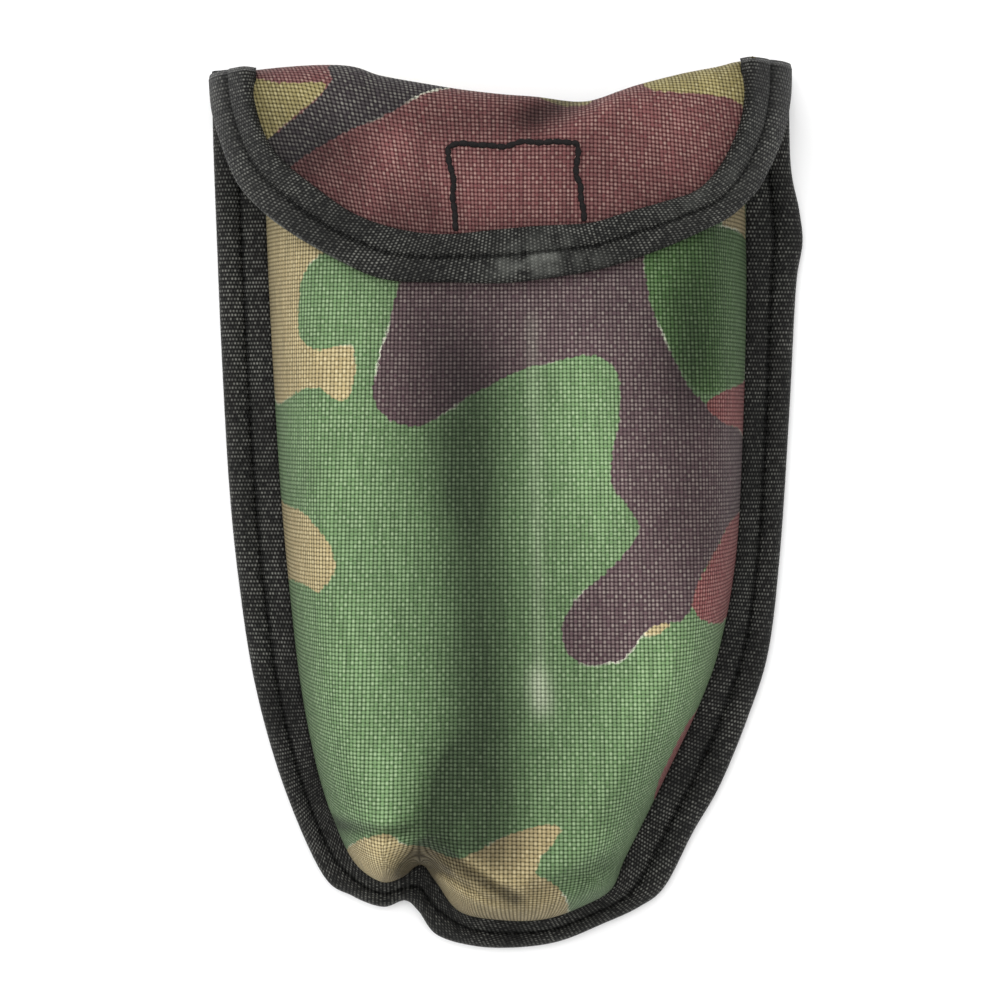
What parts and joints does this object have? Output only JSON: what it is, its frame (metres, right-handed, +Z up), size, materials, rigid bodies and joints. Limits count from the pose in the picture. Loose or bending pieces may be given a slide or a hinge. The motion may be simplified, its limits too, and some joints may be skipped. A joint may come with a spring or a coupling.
{
  "type": "folding camp shovel in a pouch",
  "caption": "Tri-fold camp shovel packed in a stuffed camouflage belt pouch with a round-edged flap, taped edges, folding blade, D-handle and locking collar.",
  "frame": {"origin": "centre of the object's box, on the surface that the pouch's back lies on", "axes": "+X across the pouch, +Y from its round end to its mouth, +Z up out of its back towards the flap"},
  "size_m": [0.138, 0.207, 0.0417],
  "materials": {
    "camouflage": "coarse plain-weave polyester printed in four-colour camouflage",
    "webbing": "black ribbed binding tape",
    "hook_and_loop": "hook and loop fastener",
    "black_steel": "black powder coat",
    "blade_steel": "black powder coat worn to bare steel along the edges",
    "collar_steel": "black powder coat, fluted",
    "bright_steel": "zinc-plated steel",
    "grip_moulding": "moulded nylon, fine texture"
  },
  "bodies": {
    "pouch": {"back_panel": "camouflage", "front_panel": "camouflage", "edge_binding": "webbing", "mouth_binding": "webbing", "belt_loop": "webbing", "loop_patch": "hook_and_loop"},
    "flap": {"flap_panel": "camouflage", "flap_binding": "webbing", "hook_patch": "hook_and_loop"},
    "shaft": {"shaft_tube": "black_steel", "shaft_head": "black_steel", "head_rivet": "bright_steel", "blade_hinge_pin": "bright_steel", "mid_clevis": "black_steel", "clevis_rivet": "bright_steel", "mid_hinge_pin": "bright_steel"},
    "collar_slide": {"collar_washer": "bright_steel"},
    "collar": {"locking_collar": "collar_steel"},
    "blade": {"blade": "blade_steel", "blade_bracket": "black_steel", "bracket_rivet_1": "bright_steel", "bracket_rivet_2": "bright_steel", "bracket_rivet_3": "bright_steel", "bracket_rivet_4": "bright_steel"},
    "handle": {"handle_throat": "black_steel", "handle_frame": "black_steel", "grip_upper": "grip_moulding", "grip_lower": "grip_moulding", "grip_screw_left": "bright_steel", "grip_screw_right": "bright_steel"}
  },
  "joints": [
    {"name": "flap_open", "type": "hinge", "parent": "pouch", "child": "flap", "pos_m": [0, 0.1024, 0.0016], "axis": [-1, 0, 0], "range_deg": [0, 90], "deforming": ["flap_panel", "flap_binding", "hook_patch"]},
    {"name": "draw_shovel", "type": "slide", "parent": "pouch", "child": "shaft", "axis": [0, 1, 0], "range_m": [0, 0.36], "deforming": ["back_panel", "front_panel", "edge_binding", "mouth_binding", "belt_loop", "loop_patch"]},
    {"name": "blade_fold", "type": "hinge", "parent": "shaft", "child": "blade", "pos_m": [0, 0.0718, 0.024], "axis": [-1, 0, 0], "range_deg": [0, 180]},
    {"name": "handle_fold", "type": "hinge", "parent": "shaft", "child": "handle", "pos_m": [0, -0.0622, 0.0137], "axis": [-1, 0, 0], "range_deg": [0, 180]},
    {"name": "collar_travel", "type": "slide", "parent": "shaft", "child": "collar_slide", "axis": [0, -1, 0], "range_m": [0, 0.0075]},
    {"name": "collar_turn", "type": "hinge", "parent": "collar_slide", "child": "collar", "pos_m": [0, 0.0438, 0.02], "axis": [0, 1, 0], "range_deg": [0, 1080]}
  ],
  "couplings": [
    {"joint": "handle_fold", "follows": "blade_fold", "ratio": 1},
    {"joint": "collar_turn", "follows": "collar_travel", "rad_per_m": 2513.3}
  ]
}
